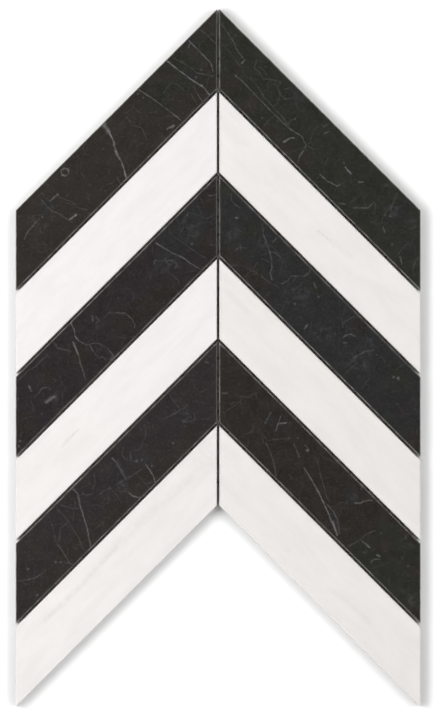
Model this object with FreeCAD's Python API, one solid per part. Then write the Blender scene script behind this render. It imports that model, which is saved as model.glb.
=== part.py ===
import FreeCAD
import Part
import math
import os

# Chevron wall tile: a sheet of parallelogram ceramic pieces in black and white rows,
# held at an even open joint by a glass-fibre net glued to their backs.
# The sheet lies face up on its net: +Z out of the face, +Y towards the chevron's point,
# X across the sheet. The origin is under the middle of the sheet, on the net's underside.
# Lengths are in millimetres and angles in degrees.

# Layout of the pieces
ROWS = 6
ROW_COLOURS = ("black", "white")
STRIP_ANGLE = 45.0
STRIP_WIDTH = 32.0
COLUMN_WIDTH = 114.0
JOINT = 1.4

# Section of one piece
TILE_THICKNESS = 8.5
ARRIS = 0.45

# Keying grooves pressed into a piece's back, along its length
GROOVE_PITCH = 8.0
GROOVE_WIDTH = 4.0
GROOVE_DEPTH = 0.6
GROOVE_DRAFT = 30.0
EDGE_LAND = 4.0

# Backing net: flat coated strands, fused where they cross
NET_PITCH = 10.0
STRAND_WIDTH = 1.2
NET_THICKNESS = 0.5
NET_INSET = 4.0

# Sides of the sheet: the left column's strips climb towards +X, the right column's fall
SIDES = {"left": -1, "right": 1}

slope = math.tan(math.radians(STRIP_ANGLE))
upright = math.cos(math.radians(STRIP_ANGLE))
strip_rise = STRIP_WIDTH / upright
column_rise = COLUMN_WIDTH * slope
row_pitch = (STRIP_WIDTH + JOINT) / upright
column_offset = (COLUMN_WIDTH + JOINT) / 2
strip_length = COLUMN_WIDTH / upright
sheet_half_width = COLUMN_WIDTH + JOINT / 2
back_level = NET_THICKNESS
face_level = NET_THICKNESS + TILE_THICKNESS


def flat_face(points, level):
    """A level face on the closed outline of (x, y) points."""
    corners = [FreeCAD.Vector(x, y, level) for x, y in points]
    return Part.Face(Part.makePolygon(corners + corners[:1]))


def piece_outline(side):
    """Corners of one piece about its own middle, with two upright ends and two sloping edges."""
    half_width = COLUMN_WIDTH / 2
    inner, outer = -side * half_width, side * half_width
    inner_y, outer_y = column_rise / 2, -column_rise / 2
    half_rise = strip_rise / 2
    return [
        (inner, inner_y + half_rise),
        (inner, inner_y - half_rise),
        (outer, outer_y - half_rise),
        (outer, outer_y + half_rise),
    ]


def keying_grooves(side):
    """Tapered grooves along a piece's back, open at both ends, set evenly about its middle."""
    room = STRIP_WIDTH - GROOVE_WIDTH - 2 * EDGE_LAND
    count = int(room / GROOVE_PITCH) + 1
    mouth = GROOVE_WIDTH / 2
    floor = mouth - GROOVE_DEPTH * math.tan(math.radians(GROOVE_DRAFT))
    reach = strip_length / 2 + STRIP_WIDTH
    grooves = []
    for number in range(count):
        middle = (number - (count - 1) / 2) * GROOVE_PITCH
        section = [
            FreeCAD.Vector(-reach, middle - mouth, back_level),
            FreeCAD.Vector(-reach, middle + mouth, back_level),
            FreeCAD.Vector(-reach, middle + floor, back_level + GROOVE_DEPTH),
            FreeCAD.Vector(-reach, middle - floor, back_level + GROOVE_DEPTH),
        ]
        face = Part.Face(Part.makePolygon(section + section[:1]))
        groove = face.extrude(FreeCAD.Vector(2 * reach, 0, 0))
        groove.rotate(FreeCAD.Vector(0, 0, 0), FreeCAD.Vector(0, 0, 1), -side * STRIP_ANGLE)
        grooves.append(groove)
    return grooves


def tile_piece(side):
    """One parallelogram piece about its own middle: bevelled round its face, grooved on its back."""
    block = flat_face(piece_outline(side), back_level).extrude(FreeCAD.Vector(0, 0, TILE_THICKNESS))
    face_edges = [edge for edge in block.Edges if edge.BoundBox.ZMin > face_level - ARRIS]
    bevelled = block.makeChamfer(ARRIS, face_edges)
    return bevelled.cut(keying_grooves(side))


def net_outline(side):
    """Outline of the net's half behind one column, from the sheet's middle to inside its edge."""
    outer = side * (sheet_half_width - NET_INSET)
    inset_rise = NET_INSET / upright
    half_height = ROWS * row_pitch / 2 - JOINT / upright / 2 - inset_rise

    def edges_at(x):
        middle = column_rise / 2 + slope * (JOINT / 2 - abs(x))
        return middle + half_height, middle - half_height

    top_inner, bottom_inner = edges_at(0)
    top_outer, bottom_outer = edges_at(outer)
    return [(0, top_inner), (0, bottom_inner), (outer, bottom_outer), (outer, top_outer)]


def strand(x_low, x_high, y_low, y_high):
    """One straight flat strand of the net, seen from above."""
    return flat_face([(x_low, y_low), (x_high, y_low), (x_high, y_high), (x_low, y_high)], 0)


def net_half(side):
    """The net behind one column: upright and cross strands, cut off at its outline and joined."""
    outline = flat_face(net_outline(side), 0)
    box = outline.BoundBox
    half_strand = STRAND_WIDTH / 2
    strands = []
    for number in range(int(box.XLength / NET_PITCH + 0.5)):
        x = side * (number + 0.5) * NET_PITCH
        strands.append(strand(x - half_strand, x + half_strand, box.YMin, box.YMax))
    for number in range(math.ceil(box.YMin / NET_PITCH), math.floor(box.YMax / NET_PITCH) + 1):
        y = number * NET_PITCH
        strands.append(strand(box.XMin, box.XMax, y - half_strand, y + half_strand))
    trimmed = [face for whole in strands for face in whole.common(outline).Faces]
    joined = Part.Shell(trimmed[0].multiFuse(trimmed[1:]).Faces).removeSplitter()
    # Ends that the outline cuts off from every crossing fall away
    net_face = max(joined.Faces, key=lambda face: face.Area)
    return net_face.extrude(FreeCAD.Vector(0, 0, NET_THICKNESS))


def save(shape, name):
    shape.exportStep(os.path.join("parts", name + ".step"))
    box = shape.BoundBox
    print(f"{name}: {box.XLength:.2f} x {box.YLength:.2f} x {box.ZLength:.2f} mm")


os.makedirs("parts", exist_ok=True)
for side_name, side in SIDES.items():
    pattern = tile_piece(side)
    for row in range(ROWS):
        piece = pattern.copy()
        row_middle = ((ROWS - 1) / 2 - row) * row_pitch
        piece.translate(FreeCAD.Vector(side * column_offset, row_middle, 0))
        colour = ROW_COLOURS[row % len(ROW_COLOURS)]
        save(piece, f"{colour}_tile_{side_name}_{row + 1}")
    save(net_half(side), f"backing_net_{side_name}")
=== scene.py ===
import math

import bpy
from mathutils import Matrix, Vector


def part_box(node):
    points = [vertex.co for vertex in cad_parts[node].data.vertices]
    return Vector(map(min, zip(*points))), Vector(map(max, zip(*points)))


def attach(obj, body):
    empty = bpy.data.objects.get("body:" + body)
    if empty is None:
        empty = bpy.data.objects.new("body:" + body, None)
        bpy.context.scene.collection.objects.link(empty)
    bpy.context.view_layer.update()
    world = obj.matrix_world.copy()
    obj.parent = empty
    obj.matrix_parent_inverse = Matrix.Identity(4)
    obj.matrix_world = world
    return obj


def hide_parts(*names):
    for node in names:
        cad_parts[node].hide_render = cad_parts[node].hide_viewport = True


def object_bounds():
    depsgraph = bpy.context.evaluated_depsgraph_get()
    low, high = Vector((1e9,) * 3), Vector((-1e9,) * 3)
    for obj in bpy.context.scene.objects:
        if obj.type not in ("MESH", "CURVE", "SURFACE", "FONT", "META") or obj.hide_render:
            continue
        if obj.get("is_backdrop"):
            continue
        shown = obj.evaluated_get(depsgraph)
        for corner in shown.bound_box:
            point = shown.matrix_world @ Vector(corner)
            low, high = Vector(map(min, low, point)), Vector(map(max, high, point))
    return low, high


# Chevron wall tile: the finish of its black and white pieces, and the woven net that holds them.
# Lengths are in millimetres unless a comment says otherwise, and the frame's are in metres.

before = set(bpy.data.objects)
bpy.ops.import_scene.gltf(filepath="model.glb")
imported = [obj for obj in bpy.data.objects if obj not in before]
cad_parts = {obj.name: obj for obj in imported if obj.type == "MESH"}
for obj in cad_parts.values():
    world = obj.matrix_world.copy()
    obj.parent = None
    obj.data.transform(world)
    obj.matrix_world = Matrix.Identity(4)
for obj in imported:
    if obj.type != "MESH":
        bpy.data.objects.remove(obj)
cad_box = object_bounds()

MM_PER_METRE = 1000.0

# Where the sheet falls in the 440 x 723 photograph, which looks straight down on it
PHOTO_WIDTH = 440
PHOTO_HEIGHT = 723
MM_PER_PIXEL = 0.5668
SHEET_MIDDLE_X = 218.1
SHEET_MIDDLE_Y = 358.0

# Heights on a piece: its face, the white layer's thickness, and half the blur at that layer's foot
FACE_LEVEL = MM_PER_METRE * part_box("white_tile_left_2")[1][2]
WHITE_LAYER = 0.8
LAYER_BLUR = 0.08

# How far a surface's normal points: up on a face, up on a bevel, and along X on the bevel of the end
# that faces right
FACE_UPWARD = 0.9
BEVEL_UPWARD = 0.3
END_ACROSS = 0.6

# Strips of the left column climb at this angle towards +X, and those of the right column fall
STRIP_ANGLE = math.radians(45.0)

# Colours, linear
BODY = (0.075, 0.066, 0.058, 1.0)
BODY_DUST = (0.120, 0.108, 0.096, 1.0)
# Pale bevel of the black pieces: worn body, and a painted highlight of the bevel catching the light
WORN_EDGE_AND_HIGHLIGHT = (0.290, 0.262, 0.236, 1.0)
VEIN = (0.192, 0.192, 0.191, 1.0)
LACE = (0.170, 0.190, 0.205, 1.0)
BROWN = (0.0184, 0.0144, 0.0112, 1.0)
DARK_BROWN = (0.0152, 0.0114, 0.0086, 1.0)
GREEN = (0.0138, 0.0146, 0.0099, 1.0)
PLUM = (0.0172, 0.0139, 0.0145, 1.0)
DARK_PLUM = (0.0144, 0.0106, 0.0117, 1.0)
GREY = (0.0135, 0.0135, 0.0133, 1.0)
ROSE_WHITE = (0.745, 0.718, 0.722, 1.0)
CLEAR_WHITE = (0.745, 0.714, 0.694, 1.0)
# A darker copy of the clear white: painted shade for the right column
WARM_WHITE_WITH_PAINTED_SHADE = (0.710, 0.682, 0.662, 1.0)
FIBRE = (0.80, 0.79, 0.75, 1.0)
FIBRE_SHADE = (0.58, 0.57, 0.52, 1.0)
FIBRE_COAT = (0.66, 0.61, 0.49, 1.0)
FLOOR_WHITE = (0.97, 0.97, 0.97, 1.0)

# Roughness, with its least and most where it varies
BODY_ROUGH = 0.85
BLACK_ROUGH = (0.19, 0.25)
WHITE_ROUGH = (0.31, 0.39)
FIBRE_ROUGH = (0.42, 0.62)
FLOOR_ROUGH = 0.9

# Fine relief: the bump's strength and its depth in metres, and the glaze's waves beside the body's grain
BUMP_STRENGTH = 0.15
BUMP_DEPTH = 0.0002
GLAZE_WAVES = 0.25

# How far apart the noise of two neighbouring pieces is taken
BLACK_SEED_STEP = 31.0
WHITE_SEED_STEP = 17.0

# Ground colour of each black piece
GROUNDS = {
    "black_tile_left_1": BROWN,
    "black_tile_right_1": GREEN,
    "black_tile_left_3": DARK_PLUM,
    "black_tile_right_3": GREY,
    "black_tile_left_5": PLUM,
    "black_tile_right_5": DARK_BROWN,
}

# White of each white piece: its own tone, with painted shade that makes the pieces of the right column a
# little darker than those of the left
WHITES = {
    "white_tile_left_2": ROSE_WHITE,
    "white_tile_right_2": (0.720, 0.692, 0.675, 1.0),
    "white_tile_left_4": (0.735, 0.708, 0.695, 1.0),
    "white_tile_right_4": WARM_WHITE_WITH_PAINTED_SHADE,
    "white_tile_left_6": (0.725, 0.697, 0.682, 1.0),
    "white_tile_right_6": WARM_WHITE_WITH_PAINTED_SHADE,
}

# Veins of each black piece: strength, half width, and the pixels of the photograph that the vein runs
# through. A vein of one pixel is a spot, and most spots have the half width named here.
SPOT = 0.72
VEINS = {
    "black_tile_left_1": [
        (0.55, 0.35, (200, 30), (207, 35), (216, 44)),
        (0.80, 0.40, (189, 41), (196, 48), (206, 58), (211, 63), (213, 71)),
        (0.60, 0.45, (188, 48), (190, 44)),
        (1.00, 0.45, (167, 61), (180, 71), (192, 80), (202, 86), (210, 95)),
        (0.40, 0.35, (173, 58), (182, 62), (190, 67), (197, 73), (202, 74), (213, 76)),
        (0.70, 0.38, (139, 90), (150, 97), (163, 106), (181, 120)),
        (0.45, 0.35, (194, 87), (202, 101)),
        (1.00, 0.50, (104, 125), (109, 132), (113, 140), (117, 154), (122, 163), (126, 177)),
        (0.80, 1.60, (104, 125), (108, 131)),
        (0.90, 0.95, (114, 145), (118, 156)),
        (0.38, 0.35, (127, 117), (132, 125), (142, 128), (144, 133), (148, 140)),
        (0.32, 0.35, (163, 93), (172, 82), (178, 85), (184, 91)),
        (0.28, 0.35, (191, 94), (198, 106), (191, 112)),
        (0.45, 0.40, (117, 177), (121, 184)),
        (0.80, 0.85, (167, 129), (174, 126)),
        (0.45, 0.40, (82, 173), (84, 178)),
        (0.90, 0.55, (50, 201), (58, 194)),
        (0.40, 0.35, (58, 194), (60, 198)),
        (0.35, 0.35, (62, 198), (72, 202), (77, 207), (82, 209), (88, 210)),
        (0.40, 0.40, (41, 199), (46, 205), (52, 211), (58, 213), (64, 217), (72, 222)),
        (0.95, 0.70, (70, 219), (76, 215)),
        (0.60, 0.40, (36, 222), (30, 229), (27, 233), (24, 239)),
        (0.30, 0.40, (38, 196), (42, 193), (45, 195)),
        (0.75, 0.45, (66, 176), (62, 175), (61, 171), (64, 168), (68, 169), (69, 173), (66, 176)),
        (0.80, SPOT, (138, 94)),
        (0.70, SPOT, (143, 98)),
        (0.40, SPOT, (140, 101)),
        (0.50, SPOT, (182, 62)),
        (0.50, SPOT, (201, 70)),
        (0.50, SPOT, (196, 77)),
        (0.50, SPOT, (212, 76)),
        (0.30, SPOT, (142, 143)),
        (0.45, SPOT, (103, 149)),
        (0.70, SPOT, (42, 217)),
    ],
    "black_tile_right_1": [
        (0.55, 0.35, (221, 23), (228, 33), (233, 41), (237, 50), (243, 58)),
        (0.80, 0.50, (242, 63), (245, 60)),
        (0.30, 0.35, (222, 44), (229, 51), (237, 62), (240, 66)),
        (0.60, 0.40, (235, 75), (245, 84), (262, 102), (282, 122), (290, 129), (302, 137)),
        (0.40, 0.35, (250, 77), (258, 87), (264, 97), (275, 109), (282, 117), (289, 126)),
        (0.55, 0.40, (302, 137), (306, 145), (303, 152), (300, 156), (298, 163)),
        (0.75, 0.45, (303, 151), (299, 157)),
        (0.85, 0.50, (284, 142), (290, 138), (294, 138)),
        (0.45, 0.40, (287, 124), (291, 120), (296, 119)),
        (0.40, 0.40, (257, 59), (254, 68), (260, 73), (263, 79), (270, 79), (281, 82), (278, 87), (274, 84)),
        (0.40, 0.40, (278, 87), (280, 94), (285, 99), (293, 98)),
        (0.35, 0.40, (280, 94), (279, 99), (275, 106)),
        (0.35, 0.35, (260, 67), (264, 71), (267, 75)),
        (0.50, 0.45, (285, 89), (290, 88)),
        (0.35, 0.40, (296, 103), (298, 110)),
        (0.35, 0.35, (264, 126), (270, 119), (273, 116)),
        (0.75, 0.45, (320, 174), (326, 180), (332, 183), (337, 186), (340, 185)),
        (0.30, 0.35, (317, 179), (320, 174)),
        (0.35, 0.35, (324, 167), (328, 158)),
        (0.35, 0.35, (322, 124), (324, 127), (328, 124)),
        (0.50, 0.40, (324, 134), (330, 131)),
        (0.95, 0.50, (345, 167), (351, 174)),
        (0.75, 0.60, (359, 182), (363, 182)),
        (0.30, 0.30, (362, 193), (356, 199), (349, 203)),
        (0.60, 0.50, (339, 203), (345, 204)),
        (0.55, 0.45, (353, 208), (363, 208), (368, 208), (372, 204)),
        (0.35, 0.35, (374, 202), (376, 206), (374, 214)),
        (0.35, 0.35, (371, 223), (377, 219)),
        (0.40, 0.40, (383, 188), (388, 184)),
        (0.40, 0.40, (397, 193), (394, 201), (391, 209)),
        (0.60, 0.50, (383, 227), (385, 232)),
        (0.35, 0.35, (408, 243), (402, 248), (398, 255)),
        (0.70, 0.50, (400, 257), (402, 264)),
        (0.30, 0.50, (418, 258), (413, 266), (414, 276)),
        (0.80, SPOT, (295, 119)),
        (0.70, SPOT, (266, 67)),
        (0.50, SPOT, (241, 89)),
        (0.80, SPOT, (236, 76)),
        (0.50, SPOT, (262, 118)),
        (0.40, SPOT, (235, 35)),
        (0.60, SPOT, (344, 163)),
        (0.65, SPOT, (385, 215)),
        (0.65, SPOT, (390, 216)),
        (0.60, SPOT, (392, 244)),
    ],
    "black_tile_left_3": [
        (0.60, 0.50, (209, 196), (216, 195)),
        (0.30, 0.35, (201, 199), (204, 205)),
        (0.30, 0.35, (188, 213), (196, 214), (200, 216), (206, 219), (211, 217), (216, 213)),
        (0.35, 0.40, (184, 227), (181, 231)),
        (0.35, 0.35, (169, 230), (173, 236), (182, 242), (190, 248), (198, 254), (206, 258)),
        (0.38, 0.40, (191, 225), (196, 227), (200, 223)),
        (0.38, 0.40, (188, 235), (196, 236), (197, 232)),
        (0.42, 0.40, (154, 264), (155, 260), (161, 261), (174, 260), (177, 264), (175, 268)),
        (0.30, 0.35, (166, 264), (169, 260)),
        (0.28, 0.35, (117, 337), (126, 338), (135, 336)),
        (0.70, 0.45, (156, 243), (172, 253), (178, 255), (184, 258), (190, 263), (200, 269)),
        (0.35, 0.40, (170, 260), (176, 264), (179, 268)),
        (0.35, 0.35, (171, 274), (176, 278), (179, 281), (178, 285)),
        (0.25, 0.35, (151, 273), (150, 280)),
        (0.50, 0.40, (108, 313), (125, 313), (131, 318), (135, 324), (134, 328)),
        (0.35, 0.35, (104, 318), (108, 313)),
        (0.25, 0.35, (106, 310), (110, 303)),
        (0.70, 0.50, (92, 316), (93, 321)),
        (0.45, 0.40, (96, 316), (99, 321), (96, 323)),
        (0.25, 0.35, (84, 320), (92, 322)),
        (0.95, 0.45, (71, 323), (74, 329), (75, 336), (79, 341)),
        (0.50, 0.40, (79, 341), (86, 345), (97, 343), (104, 346), (109, 350), (113, 355)),
        (0.40, 0.40, (90, 345), (92, 350), (99, 358), (103, 357), (106, 360)),
        (0.60, 0.70, (110, 360), (113, 356)),
        (0.30, 0.35, (85, 346), (86, 350)),
        (1.00, 0.50, (73, 342), (78, 354)),
        (0.60, 0.40, (78, 354), (80, 362), (84, 374), (86, 380)),
        (0.45, 0.40, (54, 343), (58, 348), (65, 350), (71, 351)),
        (0.40, 0.40, (45, 353), (48, 356), (43, 359), (36, 366), (28, 371), (18, 381)),
        (0.95, 0.50, (29, 386), (31, 391)),
        (0.45, 0.40, (34, 397), (39, 393), (42, 388), (46, 387), (51, 389)),
        (0.95, 1.15, (46, 402), (54, 397)),
        (0.35, 0.35, (53, 378), (56, 381)),
        (0.80, 0.75, (20, 441), (21, 441)),
        (0.50, SPOT, (187, 215)),
        (0.40, SPOT, (170, 233)),
        (0.60, 0.60, (192, 244)),
        (0.30, SPOT, (151, 298)),
        (0.35, SPOT, (134, 275)),
        (0.45, SPOT, (118, 298)),
        (0.60, SPOT, (56, 345)),
        (0.70, SPOT, (18, 399)),
        (0.45, SPOT, (26, 418)),
        (0.45, SPOT, (42, 414)),
        (0.75, SPOT, (19, 446)),
    ],
    "black_tile_right_3": [
        (0.40, 0.40, (231, 194), (232, 201), (236, 205), (240, 208)),
        (0.85, 0.55, (236, 218), (238, 218)),
        (0.35, 0.40, (235, 251), (240, 247), (246, 248)),
        (0.35, 0.40, (240, 243), (241, 250)),
        (0.25, 0.40, (224, 236), (230, 232), (236, 230), (243, 232)),
        (0.35, 0.35, (262, 224), (264, 236)),
        (0.60, 0.40, (264, 236), (269, 249), (272, 260), (272, 267), (270, 273), (272, 280)),
        (0.35, 0.35, (261, 259), (266, 260), (272, 264)),
        (0.30, 0.35, (262, 256), (266, 253)),
        (0.45, 0.40, (270, 252), (276, 253), (281, 258)),
        (0.50, 0.40, (273, 242), (277, 238)),
        (0.35, 0.40, (234, 265), (242, 266), (257, 273), (269, 282), (278, 287)),
        (0.30, 0.35, (258, 261), (254, 268), (248, 273), (244, 278)),
        (0.50, 0.40, (282, 284), (287, 281), (291, 276), (304, 276), (309, 273), (310, 269)),
        (0.55, 0.45, (293, 281), (296, 277)),
        (0.30, 0.35, (265, 297), (270, 291)),
        (0.60, 0.50, (314, 283), (316, 288)),
        (0.65, 0.50, (304, 329), (307, 325)),
        (0.65, 0.50, (343, 338), (346, 335), (350, 334), (355, 336)),
        (0.50, 0.50, (344, 343), (347, 343)),
        (0.35, 0.35, (354, 316), (348, 320), (343, 322), (343, 328)),
        (0.40, 0.50, (353, 358), (358, 355), (364, 352), (374, 350)),
        (0.30, 0.35, (376, 354), (383, 358), (385, 363)),
        (0.35, 0.35, (364, 360), (365, 370), (370, 373), (369, 379), (362, 388)),
        (0.30, 0.35, (346, 367), (352, 361)),
        (0.35, 0.35, (399, 367), (405, 364)),
        (0.50, 0.40, (417, 430), (417, 434)),
        (0.30, SPOT, (225, 189)),
        (0.50, SPOT, (268, 248)),
        (0.50, SPOT, (272, 264)),
        (0.45, SPOT, (262, 276)),
        (0.60, SPOT, (295, 304)),
        (0.50, SPOT, (306, 296)),
        (0.95, 0.75, (319, 297)),
        (0.50, SPOT, (366, 382)),
        (1.00, 1.00, (394, 377)),
        (1.00, 1.00, (398, 378)),
        (0.60, SPOT, (397, 404)),
        (0.40, SPOT, (389, 366)),
        (0.40, SPOT, (412, 434)),
    ],
    "black_tile_left_5": [
        (0.35, 0.35, (170, 395), (174, 401), (180, 409), (184, 409), (188, 404)),
        (0.40, 0.40, (180, 410), (173, 414), (165, 419)),
        (0.35, 0.40, (182, 421), (188, 422), (195, 420), (194, 413)),
        (0.55, 0.50, (205, 362), (208, 363)),
        (0.30, 0.35, (144, 425), (146, 430), (145, 438), (140, 449), (132, 451)),
        (0.45, 0.60, (130, 452), (131, 460)),
        (0.35, 0.40, (123, 448), (122, 455), (126, 460), (137, 462)),
        (0.65, 0.50, (112, 458), (116, 462)),
        (0.35, 0.90, (116, 462), (121, 470), (126, 479)),
        (0.45, 0.40, (116, 485), (124, 480), (134, 474), (142, 469)),
        (0.35, 0.35, (100, 494), (105, 490), (110, 488)),
        (0.25, 0.35, (111, 489), (117, 495), (121, 503)),
        (0.75, 0.45, (146, 465), (150, 470), (153, 476), (156, 484)),
        (0.65, 0.60, (129, 493), (133, 496), (142, 498)),
        (0.30, 0.40, (142, 482), (147, 484), (152, 482)),
        (0.35, 0.40, (94, 473), (95, 480), (93, 490)),
        (0.35, 0.35, (82, 493), (86, 495), (92, 494)),
        (0.85, 0.50, (73, 489), (78, 494), (80, 505), (84, 518), (88, 532), (91, 549)),
        (0.45, 0.40, (60, 505), (67, 507), (74, 509), (79, 508)),
        (0.35, 0.35, (57, 509), (62, 514), (68, 521), (74, 531), (79, 538), (82, 546)),
        (0.30, 0.35, (75, 500), (75, 508)),
        (0.25, 0.35, (74, 512), (73, 520)),
        (0.35, 0.40, (61, 528), (67, 523)),
        (0.35, 0.35, (60, 530), (60, 538), (57, 543)),
        (0.30, 0.35, (52, 524), (54, 532), (56, 540)),
        (0.50, 0.40, (57, 544), (63, 552), (69, 562), (73, 565)),
        (0.50, 0.45, (65, 563), (69, 563)),
        (0.40, 0.40, (20, 581), (27, 580), (34, 578), (40, 575), (46, 570)),
        (0.30, 0.35, (97, 528), (104, 521)),
        (0.50, SPOT, (174, 413)),
        (0.60, SPOT, (173, 443)),
        (0.30, SPOT, (197, 401)),
        (0.30, SPOT, (213, 366)),
        (0.60, SPOT, (137, 461)),
        (0.75, 0.75, (142, 460)),
        (0.85, 0.75, (152, 466)),
        (0.60, SPOT, (110, 488)),
        (0.50, SPOT, (56, 562)),
        (0.50, SPOT, (61, 562)),
        (0.40, SPOT, (76, 549)),
        (0.85, SPOT, (28, 569)),
        (0.75, SPOT, (37, 595)),
    ],
    "black_tile_right_5": [
        (0.30, 0.35, (226, 355), (232, 358)),
        (0.50, 0.45, (222, 393), (227, 393)),
        (0.35, 0.35, (230, 405), (235, 402)),
        (0.25, 0.35, (224, 413), (227, 422), (229, 428)),
        (0.30, 0.35, (252, 424), (254, 428), (251, 432), (240, 437)),
        (0.30, 0.35, (254, 392), (257, 398)),
        (0.70, 0.45, (265, 423), (271, 412)),
        (0.60, 0.40, (276, 431), (278, 424), (281, 416)),
        (0.95, 0.55, (278, 424), (286, 423)),
        (0.45, 0.40, (286, 423), (291, 423)),
        (0.30, 0.35, (262, 435), (263, 443)),
        (0.30, 0.35, (265, 437), (268, 441), (278, 439)),
        (0.45, 0.40, (266, 443), (270, 452), (273, 460), (275, 468), (276, 476)),
        (0.42, 0.40, (273, 440), (281, 439), (289, 439)),
        (0.60, 0.45, (294, 444), (297, 451), (299, 457)),
        (0.60, 0.45, (305, 445), (308, 448)),
        (0.35, 0.35, (289, 474), (291, 479)),
        (0.40, 0.35, (315, 458), (318, 463), (320, 474), (324, 486), (326, 496), (330, 502)),
        (0.85, 0.50, (304, 468), (310, 477), (323, 501), (331, 520), (337, 535)),
        (1.00, 0.60, (333, 522), (337, 535)),
        (0.55, 0.40, (325, 502), (333, 511), (337, 518), (339, 527), (339, 534)),
        (0.35, 0.35, (331, 507), (336, 505), (341, 502), (347, 503)),
        (0.85, 0.50, (355, 503), (360, 503), (365, 501), (372, 500)),
        (0.70, 0.60, (361, 489), (363, 486)),
        (0.45, 0.40, (349, 546), (360, 540), (365, 535), (376, 530)),
        (0.70, 0.45, (362, 541), (366, 544), (370, 548)),
        (0.60, 0.50, (371, 562), (374, 559), (380, 559)),
        (0.70, 0.50, (377, 555), (380, 556)),
        (0.30, 0.35, (372, 568), (380, 566), (388, 562)),
        (0.40, 0.40, (405, 535), (406, 539)),
        (0.35, SPOT, (243, 373)),
        (0.40, SPOT, (238, 418)),
        (0.55, SPOT, (289, 438)),
        (0.65, SPOT, (298, 438)),
        (0.55, SPOT, (291, 478)),
        (1.00, 1.10, (308, 450)),
        (0.45, SPOT, (347, 502)),
        (0.65, SPOT, (364, 552)),
        (0.75, SPOT, (381, 533)),
        (0.35, SPOT, (385, 551)),
        (0.40, SPOT, (402, 558)),
        (0.50, SPOT, (408, 566)),
    ],
}

# The power that sets faint veins further behind strong ones
VEIN_CONTRAST = 1.5

# Strength of a black piece's shade, speckle, lace and threads and of its bevel's pale wear and painted
# highlight, and how much of that pale bevel is left on the end that faces right, which is kept dark as
# painted shade
SHADE_STRENGTH = 0.03
SPECKLE_STRENGTH = 0.08
LACE_STRENGTH = 0.11
THREAD_STRENGTH = 0.10
BEVEL_WEAR_AND_HIGHLIGHT = 0.75
# Share of the pale bevel kept on the end that faces right: painted shade, as if the light came more from the
# left
RIGHT_END_SHARE_UNDER_PAINTED_SHADE = 0.15

# Lacy pale clouds of each black piece, written as the veins are
CLOUDS = {
    "black_tile_left_1": [
        (1.0, 8.0, (47, 205)),
        (1.0, 6.0, (38, 217)),
        (0.6, 5.0, (47, 223)),
        (0.5, 7.0, (205, 70)),
    ],
    "black_tile_right_1": [
        (1.0, 5.0, (298, 97)),
        (1.0, 7.0, (393, 210)),
        (1.0, 6.0, (412, 225)),
        (1.0, 5.0, (415, 264)),
    ],
    "black_tile_left_3": [
        (1.0, 10.0, (190, 225)),
        (1.0, 8.0, (166, 264)),
        (1.0, 5.0, (56, 397)),
    ],
    "black_tile_right_3": [
        (0.8, 9.0, (232, 238)),
        (0.8, 6.0, (265, 245)),
        (1.0, 12.0, (300, 295)),
        (1.0, 9.0, (320, 335)),
        (1.0, 12.0, (355, 360)),
        (0.8, 9.0, (372, 345)),
    ],
    "black_tile_left_5": [
        (1.0, 5.0, (188, 416)),
        (1.0, 6.0, (122, 472), (123, 487)),
        (1.0, 5.0, (147, 464)),
    ],
    "black_tile_right_5": [
        (0.8, 4.0, (262, 425)),
        (1.0, 5.0, (357, 494)),
        (0.8, 4.0, (336, 522)),
        (1.0, 4.0, (408, 541)),
        (1.0, 5.0, (405, 593), (415, 603)),
    ],
}

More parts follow.
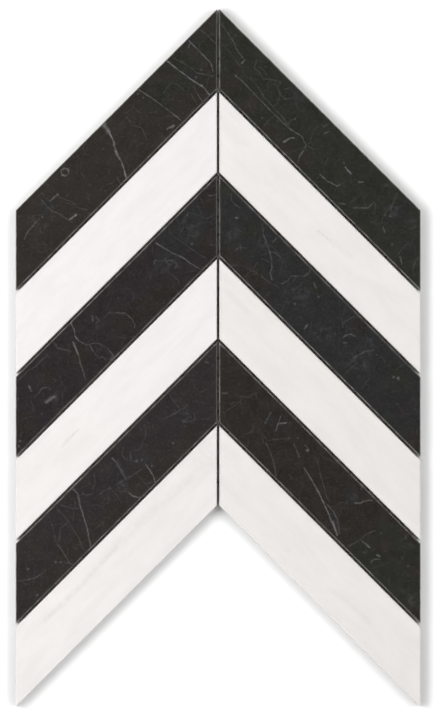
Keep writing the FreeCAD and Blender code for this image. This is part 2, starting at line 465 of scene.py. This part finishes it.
# Tinted patches in the ground of a piece: a colour, and places written as the veins are
PATCHES = {
    "black_tile_left_1": [
        (GREEN, [(1.0, 25.0, (166, 92), (208, 50)), (0.8, 4.0, (112, 175))]),
        (BROWN, [(0.9, 6.0, (165, 75)), (0.9, 6.0, (194, 54)), (0.9, 6.0, (178, 98)), (0.9, 6.0, (208, 66))]),
        (GREY, [(0.9, 7.0, (193, 76)), (0.8, 6.0, (187, 40)), (0.8, 8.0, (45, 205))]),
    ],
    "black_tile_right_1": [
        (BROWN, [(1.0, 8.0, (230, 82)), (1.0, 9.0, (250, 105)), (0.9, 7.0, (274, 130))]),
        (BROWN, [(1.0, 8.0, (287, 150)), (0.9, 8.0, (305, 160)), (0.7, 6.0, (240, 65))]),
        (GREY, [(1.0, 11.0, (400, 208)), (0.6, 7.0, (298, 97)), (0.5, 9.0, (412, 250))]),
    ],
    "black_tile_left_3": [
        (GREY, [(1.0, 18.0, (172, 250), (196, 215))]),
        (DARK_BROWN, [(1.0, 9.0, (208, 245)), (0.9, 9.0, (212, 200)), (1.0, 10.0, (168, 290), (120, 327))]),
        (DARK_BROWN, [(0.9, 11.0, (78, 357)), (0.8, 8.0, (45, 378)), (1.0, 11.0, (25, 425))]),
    ],
    "black_tile_right_3": [
        (GREEN, [(1.0, 9.0, (225, 190)), (1.0, 9.0, (252, 230))]),
        (GREEN, [(0.9, 8.0, (315, 287)), (1.0, 10.0, (400, 375))]),
        (DARK_BROWN, [(1.0, 10.0, (226, 256), (262, 282)), (0.9, 8.0, (358, 326)), (1.0, 9.0, (412, 440))]),
        (DARK_PLUM, [(1.0, 9.0, (268, 302)), (0.8, 7.0, (380, 405)), (0.9, 8.0, (405, 408))]),
    ],
    "black_tile_left_5": [
        (BROWN, [(1.0, 10.0, (190, 437), (100, 525), (35, 592))]),
        (BROWN, [(0.9, 10.0, (33, 545)), (0.8, 7.0, (188, 395))]),
        (GREY, [(0.9, 7.0, (120, 475)), (0.8, 6.0, (190, 415))]),
    ],
    "black_tile_right_5": [
        (GREEN, [(1.0, 24.0, (362, 560), (405, 590)), (1.0, 14.0, (385, 535), (412, 552))]),
        (BROWN, [(1.0, 7.0, (386, 546)), (0.9, 6.0, (414, 570))]),
        (GREY, [(0.8, 7.0, (276, 424)), (0.9, 7.0, (352, 495)), (0.7, 7.0, (332, 520))]),
    ],
    "white_tile_left_4": [(ROSE_WHITE, [(1.0, 40.0, (140, 383), (205, 322))])],
    "white_tile_left_6": [(CLEAR_WHITE, [(1.0, 40.0, (30, 640), (80, 595))])],
    "white_tile_right_2": [(CLEAR_WHITE, [(0.8, 30.0, (232, 140))])],
}

# Marks of a white piece: how dark their grey is beside the white, how strong the bands and the mottle
# are, and how much longer than broad the bands are
MARK_SHADE = 0.80
BAND_STRENGTH = 0.30
MOTTLE_STRENGTH = 0.22
BAND_STRETCH = 3.5

# Faint grey streaks of the white pieces, written as the veins are
STREAKS = {
    "white_tile_left_2": [(0.2, 4.0, (90, 190), (120, 158))],
    "white_tile_right_2": [(1.0, 1.3, (318, 232), (331, 241)), (0.3, 3.0, (331, 241), (352, 258))],
    "white_tile_left_4": [(1.0, 1.3, (62, 446), (78, 429))],
    "white_tile_right_4": [(0.25, 3.0, (225, 290), (248, 312))],
    "white_tile_left_6": [
        (0.60, 2.6, (45, 620), (75, 592), (105, 560), (118, 545)),
        (0.40, 5.0, (118, 545), (150, 515), (190, 478)),
        (0.40, 18.0, (205, 460)),
    ],
    "white_tile_right_6": [(0.35, 3.5, (330, 590), (350, 603), (368, 622)), (0.8, 1.3, (288, 551))],
}

# Backing net: the spacing of its yarns, the outline it is cut to, the yarns' half sizes, and how they run.
# Its upper and lower edges start from the sheet's middle line at the top and foot given here, and fall
# away from it as the strips do.
NET_PITCH = 10.0
NET_TOP = 192.75
NET_FOOT = -77.35
NET_REACH = MM_PER_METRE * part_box("backing_net_right")[1][0]
NET_MIDDLE = MM_PER_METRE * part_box("backing_net_right")[1][2] / 2
WARP_APART = 0.30
WARP_RISE = 0.125
WARP_HALF_WIDTH = 0.30
WARP_HALF_HEIGHT = 0.115
WARP_STEP = 1.25
WEFT_HALF_WIDTH = 0.60
WEFT_HALF_HEIGHT = 0.13
WEFT_STEP = 2.5
WEFT_WAVE = 0.12
WEFT_WAVE_TURN = 0.21
WEFT_RIPPLE = 0.08
WEFT_RIPPLE_TURN = 0.13
WEFT_RIPPLE_LAG = 2.3
YARN_SIDES = 6
FILAMENT_SHRINK = 0.03

# Studio light: brightness of the softboxes left and right of the sheet, of the weaker ones beyond its
# two ends, of the room and of the dim ceiling. A height is that of a direction's tip: 0 at the horizon
# and 1 overhead. The key lamp stands in front of the left softbox, near enough to fade across the sheet.
# Places and sizes of the lamp, the floor and the camera's reach are in metres.
LEFT_BOX = 4.8
RIGHT_BOX = 4.4
END_BOX = 0.5
ROOM = 0.47
CEILING = 0.10
BOX_FOOT = (0.66, 0.73)
BOX_TOP = (0.90, 0.94)
BOX_SIDE = (0.72, 0.94)
CEILING_EDGE = (0.80, 0.90)
KEY_PLACE = Vector((-0.62, 0.08, 0.66))
KEY_POWER = 2.5
KEY_SIZE = (0.7, 0.45)
FLOOR_SIZE = 30.0
FLOOR_DROP = 0.00005
CAMERA_LENS = 500.0
CAMERA_REACH = 50.0


class Tree:
    """A node tree with short ways to add a node with its inputs linked or set."""

    def __init__(self, tree):
        self.tree = tree
        tree.nodes.clear()

    def add(self, kind, inputs, **settings):
        node = self.tree.nodes.new(kind)
        for name, value in settings.items():
            setattr(node, name, value)
        for key, value in inputs.items():
            if isinstance(value, bpy.types.NodeSocket):
                self.tree.links.new(value, node.inputs[key])
            else:
                node.inputs[key].default_value = value
        return node

    def math(self, operation, a, b=0.0):
        return self.add("ShaderNodeMath", {0: a, 1: b}, operation=operation).outputs[0]

    def vector(self, operation, a, b=(0.0, 0.0, 0.0)):
        """A vector worked out from one or two vectors."""
        return self.add("ShaderNodeVectorMath", {0: a, 1: b}, operation=operation).outputs["Vector"]

    def measure(self, operation, a, b=(0.0, 0.0, 0.0)):
        """A number worked out from one or two vectors."""
        return self.add("ShaderNodeVectorMath", {0: a, 1: b}, operation=operation).outputs["Value"]

    def ramp(self, value, low, high, start=0.0, end=1.0):
        """A smooth step of a value from low to high, giving start to end."""
        inputs = {0: value, 1: low, 2: high, 3: start, 4: end}
        return self.add("ShaderNodeMapRange", inputs, interpolation_type="SMOOTHSTEP").outputs[0]

    def mix(self, factor, a, b):
        """A colour between two colours."""
        return self.add("ShaderNodeMix", {0: factor, 6: a, 7: b}, data_type="RGBA").outputs[2]

    def blend(self, factor, a, b):
        """A number between two numbers."""
        return self.add("ShaderNodeMix", {0: factor, 2: a, 3: b}, data_type="FLOAT").outputs[0]

    def noise(self, point, size, detail=3.0, rough=0.5, seed=0.0):
        """Cloud noise whose largest features are about size across."""
        moved = self.vector("ADD", point, (seed, 0.7 * seed, 0.0))
        inputs = {"Vector": moved, "Scale": 1.0 / size, "Detail": detail, "Roughness": rough}
        return self.add("ShaderNodeTexNoise", inputs)

    def cloud(self, point, size, detail=3.0, rough=0.5, seed=0.0):
        """The noise as one number, about 0.5 on average."""
        return self.noise(point, size, detail, rough, seed).outputs["Fac"]

    def shifted(self, point, size, reach, seed=0.0):
        """The point moved about on the sheet by noise, by up to reach each way."""
        noise = self.noise(point, size, detail=2.0, seed=seed).outputs["Color"]
        centred = self.vector("SUBTRACT", noise, (0.5, 0.5, 0.5))
        return self.vector("ADD", point, self.vector("MULTIPLY", centred, (2 * reach, 2 * reach, 0.0)))


def new_material(name):
    """A material, and its node tree with nothing in it yet."""
    material = bpy.data.materials.new(name)
    material.use_nodes = True
    return material, Tree(material.node_tree)


def run_group():
    """Node group: distance from a point to a straight run that starts at a place."""
    group = bpy.data.node_groups.new("distance_to_run", "ShaderNodeTree")
    tree = Tree(group)
    sockets = {
        "Point": "NodeSocketVector",
        "Start": "NodeSocketVector",
        "Run": "NodeSocketVector",
        "Share": "NodeSocketFloat",
    }
    for name, kind in sockets.items():
        group.interface.new_socket(name=name, in_out="INPUT", socket_type=kind)
    group.interface.new_socket(name="Distance", in_out="OUTPUT", socket_type="NodeSocketFloat")
    given = tree.add("NodeGroupInput", {}).outputs
    from_start = tree.vector("SUBTRACT", given["Point"], given["Start"])
    overlap = tree.measure("DOT_PRODUCT", from_start, given["Run"])
    share = tree.math("MULTIPLY", overlap, given["Share"])
    along = tree.add("ShaderNodeClamp", {"Value": share}).outputs[0]
    reached = tree.add("ShaderNodeVectorMath", {0: given["Run"], "Scale": along}, operation="SCALE")
    away = tree.measure("DISTANCE", from_start, reached.outputs["Vector"])
    tree.add("NodeGroupOutput", {"Distance": away})
    return group


distance_to_run = run_group()


def sheet_point(pixel):
    """A pixel of the photograph as a point on the sheet, in millimetres."""
    across = (pixel[0] - SHEET_MIDDLE_X) * MM_PER_PIXEL
    up = (SHEET_MIDDLE_Y - pixel[1]) * MM_PER_PIXEL
    return Vector((across, up, 0.0))


def distance_to_course(tree, point, pixels):
    """Distance from a point to the course through some pixels, or to a single pixel."""
    if len(pixels) == 1:
        return tree.measure("DISTANCE", point, sheet_point(pixels[0]))
    nearest = None
    for first, second in zip(pixels, pixels[1:]):
        start = sheet_point(first)
        run = sheet_point(second) - start
        inputs = {"Point": point, "Start": start, "Run": run, "Share": 1.0 / run.length_squared}
        away = tree.add("ShaderNodeGroup", inputs, node_tree=distance_to_run).outputs["Distance"]
        nearest = away if nearest is None else tree.math("MINIMUM", nearest, away)
    return nearest


def drawn(tree, point, rows, spread=1.0):
    """Strength at a point of what the rows list: each fades from its course to its half width."""
    total = 0.0
    for strength, half_width, *pixels in rows:
        away = distance_to_course(tree, point, pixels)
        reach = tree.math("MULTIPLY", spread, half_width)
        total = tree.math("MAXIMUM", total, tree.ramp(away, 0.0, reach, start=strength, end=0.0))
    return total


def sheet_coordinates(tree):
    """Place on the sheet in millimetres: the full point, and the point seen from above."""
    coords = tree.add("ShaderNodeTexCoord", {}).outputs["Object"]
    full = tree.vector("MULTIPLY", coords, (MM_PER_METRE, MM_PER_METRE, MM_PER_METRE))
    above = tree.vector("MULTIPLY", coords, (MM_PER_METRE, MM_PER_METRE, 0.0))
    return full, above


def fired_body(tree, full):
    """Colour and grain height of the unglazed body: fine sand, and faint lines along a cut side."""
    sand = tree.cloud(full, size=0.45, detail=4.0, rough=0.65)
    lines = tree.cloud(tree.vector("MULTIPLY", full, (0.08, 0.08, 3.0)), size=1.0)
    patches = tree.cloud(full, size=17.0, detail=2.0)
    grain = tree.blend(0.4, sand, lines)
    colour = tree.mix(tree.ramp(grain, 0.38, 0.68), BODY, BODY_DUST)
    return tree.mix(tree.ramp(patches, 0.4, 0.7, end=0.35), colour, BODY_DUST), grain


def threads(tree, point, cell, half_width, shown, seed):
    """Hair-thin threads along the edges of bent cells, showing only in scattered places."""
    bent = tree.shifted(point, size=0.85 * cell, reach=0.28 * cell, seed=seed)
    bent = tree.shifted(bent, size=0.17 * cell, reach=0.06 * cell, seed=seed)
    edges = tree.add(
        "ShaderNodeTexVoronoi",
        {"Vector": bent, "Scale": 1.0 / cell},
        voronoi_dimensions="2D",
        feature="DISTANCE_TO_EDGE",
    )
    thread = tree.ramp(edges.outputs["Distance"], 0.0, half_width / cell, start=1.0, end=0.0)
    places = tree.cloud(point, size=1.1 * cell, rough=0.6, seed=seed + 50.0)
    return tree.math("MULTIPLY", thread, tree.ramp(places, shown, shown + 0.15, end=THREAD_STRENGTH))


def tinted(tree, point, name, ground):
    """Ground colour of a piece with its patches."""
    for colour, places in PATCHES.get(name, []):
        ground = tree.mix(drawn(tree, point, places), ground, colour)
    return ground


def black_glaze(tree, above, name, seed):
    """Colour of a black piece's face: tinted and speckled ground, lacy clouds, threads and veins."""
    wavy = tree.shifted(above, size=8.0, reach=0.35, seed=seed)
    wavy = tree.shifted(wavy, size=1.6, reach=0.42, seed=seed)
    rolling = tree.shifted(above, size=22.0, reach=5.0, seed=seed)
    rolling = tree.shifted(rolling, size=6.0, reach=2.5, seed=seed)

    ground = tinted(tree, rolling, name, GROUNDS[name])
    shade = tree.cloud(rolling, size=7.0, detail=4.0, rough=0.7, seed=seed)
    ground = tree.mix(tree.ramp(shade, 0.30, 0.80, end=SHADE_STRENGTH), ground, VEIN)
    speckle = tree.cloud(wavy, size=1.8, detail=3.0, rough=0.75, seed=-seed)
    ground = tree.mix(tree.ramp(speckle, 0.48, 0.78, end=SPECKLE_STRENGTH), ground, VEIN)

    lace = tree.cloud(wavy, size=3.5, detail=5.0, rough=0.7, seed=seed)
    lace = tree.ramp(lace, 0.44, 0.66, end=LACE_STRENGTH)
    lace = tree.math("MULTIPLY", drawn(tree, rolling, CLOUDS[name]), lace)
    ground = tree.mix(lace, ground, LACE)

    swell = tree.ramp(tree.cloud(above, size=6.0, detail=2.0, seed=seed), 0.32, 0.66, start=0.45, end=0.92)
    beads = tree.ramp(tree.cloud(above, size=1.1, detail=2.0, rough=0.6), 0.32, 0.62, start=0.5)
    spread = tree.ramp(tree.cloud(above, size=3.0, detail=2.0, seed=-seed), 0.3, 0.7, start=0.90, end=2.00)
    veins = tree.math("POWER", drawn(tree, wavy, VEINS[name], spread), VEIN_CONTRAST)
    veins = tree.math("MULTIPLY", veins, tree.math("MULTIPLY", swell, beads))
    wide = threads(tree, above, cell=17.0, half_width=0.36, shown=0.48, seed=seed)
    fine = threads(tree, above, cell=6.0, half_width=0.30, shown=0.53, seed=seed)
    pale = tree.math("MAXIMUM", veins, tree.math("MAXIMUM", wide, fine))
    return tree.mix(pale, ground, VEIN)


def black_material(name, seed):
    """Black marble-look glaze on the face. The sides are bare, and so is the bevel, which is worn pale and
    carries a painted highlight, apart from the end that faces right, which is kept dark as painted shade."""
    material, tree = new_material(name + "_finish")
    full, above = sheet_coordinates(tree)
    body, grain = fired_body(tree, full)
    normal = tree.add("ShaderNodeNewGeometry", {}).outputs["True Normal"]
    across, _, upward = tree.add("ShaderNodeSeparateXYZ", {0: normal}).outputs
    on_face = tree.math("GREATER_THAN", upward, FACE_UPWARD)
    on_bevel = tree.math("SUBTRACT", tree.math("GREATER_THAN", upward, BEVEL_UPWARD), on_face)
    on_right_end = tree.math("GREATER_THAN", across, END_ACROSS)

    # Pale bevel: worn body, and a painted highlight of the bevel catching the light
    wear_and_highlight = tree.cloud(full, size=5.0, detail=4.0, rough=0.6, seed=seed)
    wear_and_highlight = tree.ramp(wear_and_highlight, 0.38, 0.66, end=BEVEL_WEAR_AND_HIGHLIGHT)
    # Painted shade: the bevel of the end that faces right keeps little of its pale colour
    wear_and_highlight = tree.math("MULTIPLY", wear_and_highlight, tree.blend(on_right_end, 1.0, RIGHT_END_SHARE_UNDER_PAINTED_SHADE))
    colour = tree.mix(tree.math("MULTIPLY", on_bevel, wear_and_highlight), body, WORN_EDGE_AND_HIGHLIGHT)
    colour = tree.mix(on_face, colour, black_glaze(tree, above, name, seed))
    haze = tree.cloud(above, size=9.0, seed=seed)
    rough = tree.blend(on_face, BODY_ROUGH, tree.ramp(haze, 0.3, 0.7, *BLACK_ROUGH))
    waves = tree.math("MULTIPLY", haze, GLAZE_WAVES)
    return finished(material, tree, colour, rough, tree.blend(on_face, grain, waves))


def white_material(name, seed):
    """White marble-look glaze, thick enough to reach down past the bevel, with the body below it."""
    material, tree = new_material(name + "_finish")
    full, above = sheet_coordinates(tree)
    slant = STRIP_ANGLE if "left" in name else -STRIP_ANGLE
    inputs = {"Vector": above, "Rotation": (0.0, 0.0, slant), "Scale": (BAND_STRETCH, 1.0, 1.0)}
    combed = tree.add("ShaderNodeMapping", inputs, vector_type="TEXTURE").outputs[0]
    combed = tree.shifted(combed, size=14.0, reach=5.0, seed=seed)
    wavy = tree.shifted(above, size=12.0, reach=1.2, seed=seed)
    wavy = tree.shifted(wavy, size=2.0, reach=0.6, seed=seed)

    grey = tuple(MARK_SHADE * share for share in WHITES[name][:3]) + (1.0,)
    white = tinted(tree, above, name, WHITES[name])
    bands = tree.cloud(combed, size=8.0, detail=5.0, rough=0.6, seed=seed)
    bands = tree.ramp(bands, 0.32, 0.72, end=BAND_STRENGTH)
    mottle = tree.cloud(above, size=4.0, detail=5.0, rough=0.65, seed=seed)
    mottle = tree.ramp(mottle, 0.42, 0.80, end=MOTTLE_STRENGTH)
    colour = tree.mix(tree.math("MAXIMUM", bands, mottle), white, grey)
    broken = tree.ramp(tree.cloud(wavy, size=3.0, detail=4.0, seed=seed), 0.30, 0.65, start=0.30, end=0.95)
    streaks = tree.math("MULTIPLY", drawn(tree, wavy, STREAKS[name]), broken)
    colour = tree.mix(streaks, colour, grey)

    body, grain = fired_body(tree, full)
    level = tree.add("ShaderNodeSeparateXYZ", {0: full}).outputs[2]
    layer_foot = FACE_LEVEL - WHITE_LAYER
    glazed = tree.ramp(level, layer_foot - LAYER_BLUR, layer_foot + LAYER_BLUR)
    colour = tree.mix(glazed, body, colour)
    haze = tree.cloud(above, size=9.0, seed=seed)
    rough = tree.blend(glazed, BODY_ROUGH, tree.ramp(haze, 0.3, 0.7, *WHITE_ROUGH))
    waves = tree.math("MULTIPLY", haze, GLAZE_WAVES)
    return finished(material, tree, colour, rough, tree.blend(glazed, grain, waves))


def yarn_material(name, stretch):
    """Coated glass fibre: fine filaments that run along the yarn, in a slightly yellowed coat."""
    material, tree = new_material(name)
    full, _ = sheet_coordinates(tree)
    filaments = tree.cloud(tree.vector("MULTIPLY", full, stretch), size=0.12, detail=3.0)
    coat = tree.cloud(full, size=6.0, detail=3.0)
    colour = tree.mix(tree.ramp(filaments, 0.35, 0.65), FIBRE_SHADE, FIBRE)
    colour = tree.mix(tree.ramp(coat, 0.40, 0.70, end=0.35), colour, FIBRE_COAT)
    rough = tree.ramp(coat, 0.35, 0.65, *FIBRE_ROUGH)
    return finished(material, tree, colour, rough, filaments)


def finished(material, tree, colour, rough, height):
    """The material with its shader, which takes a colour, a roughness and the height of its fine relief."""
    inputs = {"Height": height, "Strength": BUMP_STRENGTH, "Distance": BUMP_DEPTH}
    relief = tree.add("ShaderNodeBump", inputs).outputs[0]
    inputs = {"Base Color": colour, "Roughness": rough, "IOR": 1.5, "Normal": relief}
    shader = tree.add("ShaderNodeBsdfPrincipled", inputs)
    tree.add("ShaderNodeOutputMaterial", {"Surface": shader.outputs[0]})
    return material


def yarn(points, across, half_width, half_height):
    """Corners in metres and faces of a closed flat yarn along some points."""
    up = Vector((0.0, 0.0, 1.0))
    turns = [2 * math.pi * side / YARN_SIDES for side in range(YARN_SIDES)]
    section = [across * (half_width * math.cos(turn)) + up * (half_height * math.sin(turn)) for turn in turns]
    corners = [(point + offset) / MM_PER_METRE for point in points for offset in section]
    faces = [tuple(range(YARN_SIDES)), tuple(range(len(corners) - 1, len(corners) - YARN_SIDES - 1, -1))]
    for ring in range(len(points) - 1):
        for side in range(YARN_SIDES):
            near = ring * YARN_SIDES
            beside = (side + 1) % YARN_SIDES
            far = near + YARN_SIDES
            faces.append((near + side, far + side, far + beside, near + beside))
    return corners, faces


def steps(low, high, step):
    """Evenly spaced places from low to high, about a step apart."""
    count = max(1, round((high - low) / step))
    return [low + (high - low) * number / count for number in range(count + 1)]


def warp_pair(side, x):
    """The two yarns of an upright: one over and one under the cross yarns, changing sides between them."""
    low, high = NET_FOOT - x, NET_TOP - x
    for rise in (1, -1):
        points = []
        for y in steps(low, high, WARP_STEP):
            aside = rise * WARP_APART * math.cos(math.pi * y / NET_PITCH)
            points.append(Vector((side * x + aside, y, NET_MIDDLE + rise * WARP_RISE)))
        yield yarn(points, Vector((1.0, 0.0, 0.0)), WARP_HALF_WIDTH, WARP_HALF_HEIGHT)


def weft(side, y, uprights):
    """One cross yarn, waving a little about its line, if it crosses an upright."""
    low = max(0.0, NET_FOOT - y)
    high = min(NET_REACH, NET_TOP - y)
    if not any(low < x < high for x in uprights):
        return None
    points = []
    for x in steps(low, high, WEFT_STEP):
        wave = WEFT_WAVE * math.sin(WEFT_WAVE_TURN * x + y)
        ripple = WEFT_RIPPLE * math.sin(WEFT_RIPPLE_TURN * side * x + WEFT_RIPPLE_LAG * y)
        points.append(Vector((side * x, y + wave + ripple, NET_MIDDLE)))
    return yarn(points, Vector((0.0, 1.0, 0.0)), WEFT_HALF_WIDTH, WEFT_HALF_HEIGHT)


def woven_net(name, side, materials):
    """The net behind one column as woven yarns, one mesh, in place of the plain net."""
    uprights = [(number + 0.5) * NET_PITCH for number in range(int(NET_REACH / NET_PITCH + 0.5))]
    yarns = [(made, 0) for x in uprights for made in warp_pair(side, x)]
    lowest = math.ceil((NET_FOOT - NET_REACH) / NET_PITCH)
    for number in range(lowest, math.floor(NET_TOP / NET_PITCH) + 1):
        made = weft(side, number * NET_PITCH, uprights)
        if made:
            yarns.append((made, 1))

    corners, faces, finishes = [], [], []
    for (yarn_corners, yarn_faces), finish in yarns:
        start = len(corners)
        corners += yarn_corners
        faces += [tuple(start + corner for corner in face) for face in yarn_faces]
        finishes += [finish] * len(yarn_faces)
    mesh = bpy.data.meshes.new("woven_" + name)
    mesh.from_pydata(corners, [], faces)
    for material in materials:
        mesh.materials.append(material)
    mesh.polygons.foreach_set("material_index", finishes)
    mesh.polygons.foreach_set("use_smooth", [len(face) == 4 for face in faces])
    piece = bpy.data.objects.new("woven_" + name, mesh)
    bpy.context.scene.collection.objects.link(piece)
    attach(piece, "root")
    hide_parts(name)


def floor():
    """A plain white floor just under the net."""
    bpy.ops.mesh.primitive_plane_add(size=FLOOR_SIZE, location=(0.0, 0.0, -FLOOR_DROP))
    plane = bpy.context.object
    plane.name = "floor"
    material, tree = new_material("floor_finish")
    shader = tree.add("ShaderNodeBsdfPrincipled", {"Base Color": FLOOR_WHITE, "Roughness": FLOOR_ROUGH})
    tree.add("ShaderNodeOutputMaterial", {"Surface": shader.outputs[0]})
    plane.data.materials.append(material)
    plane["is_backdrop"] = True


def studio_light():
    """Softboxes round the sheet in a softly lit room with a dim ceiling."""
    world = bpy.data.worlds.new("studio")
    bpy.context.scene.world = world
    world.use_nodes = True
    tree = Tree(world.node_tree)
    direction = tree.add("ShaderNodeTexCoord", {}).outputs["Generated"]
    height = tree.add("ShaderNodeSeparateXYZ", {0: direction}).outputs[2]
    level = tree.vector("NORMALIZE", tree.vector("MULTIPLY", direction, (1.0, 1.0, 0.0)))
    across, along = tree.add("ShaderNodeSeparateXYZ", {0: level}).outputs[:2]
    left = tree.ramp(tree.math("MULTIPLY", across, -1.0), *BOX_SIDE, end=LEFT_BOX)
    right = tree.ramp(across, *BOX_SIDE, end=RIGHT_BOX)
    ends = tree.ramp(tree.math("ABSOLUTE", along), *BOX_SIDE, end=END_BOX)
    sides = tree.math("ADD", left, right)
    band = tree.math("SUBTRACT", tree.ramp(height, *BOX_FOOT), tree.ramp(height, *BOX_TOP))
    boxes = tree.math("MULTIPLY", band, tree.math("ADD", sides, ends))
    room = tree.ramp(height, *CEILING_EDGE, start=ROOM, end=CEILING)
    inputs = {"Color": (1.0, 1.0, 1.0, 1.0), "Strength": tree.math("ADD", boxes, room)}
    sky = tree.add("ShaderNodeBackground", inputs)
    tree.add("ShaderNodeOutputWorld", {"Surface": sky.outputs[0]})


def key_lamp():
    """A flat lamp that looks at the middle of the sheet."""
    lamp = bpy.data.lights.new("key", "AREA")
    lamp.shape = "RECTANGLE"
    lamp.size, lamp.size_y = KEY_SIZE
    lamp.energy = KEY_POWER
    key = bpy.data.objects.new("key", lamp)
    bpy.context.scene.collection.objects.link(key)
    key.location = KEY_PLACE
    key.rotation_mode = "QUATERNION"
    key.rotation_quaternion = (-KEY_PLACE).to_track_quat("-Z", "X")


def camera():
    """A long lens that looks straight down on the sheet, framed as the photograph is."""
    data = bpy.data.cameras.new("camera")
    data.lens = CAMERA_LENS
    data.clip_end = CAMERA_REACH
    made = bpy.data.objects.new("camera", data)
    bpy.context.scene.collection.objects.link(made)
    distance = PHOTO_HEIGHT * MM_PER_PIXEL * data.lens / data.sensor_width
    middle = sheet_point((PHOTO_WIDTH / 2, PHOTO_HEIGHT / 2))
    made.location = (middle + Vector((0.0, 0.0, FACE_LEVEL + distance))) / MM_PER_METRE
    bpy.context.scene.camera = made
    bpy.context.scene.view_settings.view_transform = "Standard"


def dress(node, material):
    """Gives a piece of the frame its finish."""
    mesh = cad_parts[node].data
    mesh.materials.clear()
    mesh.materials.append(material)


for number, name in enumerate(GROUNDS):
    dress(name, black_material(name, seed=BLACK_SEED_STEP * number))
for number, name in enumerate(WHITES):
    dress(name, white_material(name, seed=WHITE_SEED_STEP * number))
yarns = [
    yarn_material("warp_finish", stretch=(1.0, FILAMENT_SHRINK, 1.0)),
    yarn_material("weft_finish", stretch=(FILAMENT_SHRINK, 1.0, 1.0)),
]
woven_net("backing_net_left", -1, yarns)
woven_net("backing_net_right", 1, yarns)
floor()
studio_light()
key_lamp()
camera()

boxes = {"cad": cad_box, "visual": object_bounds()}
{name: [list(corner) for corner in box] for name, box in boxes.items()}
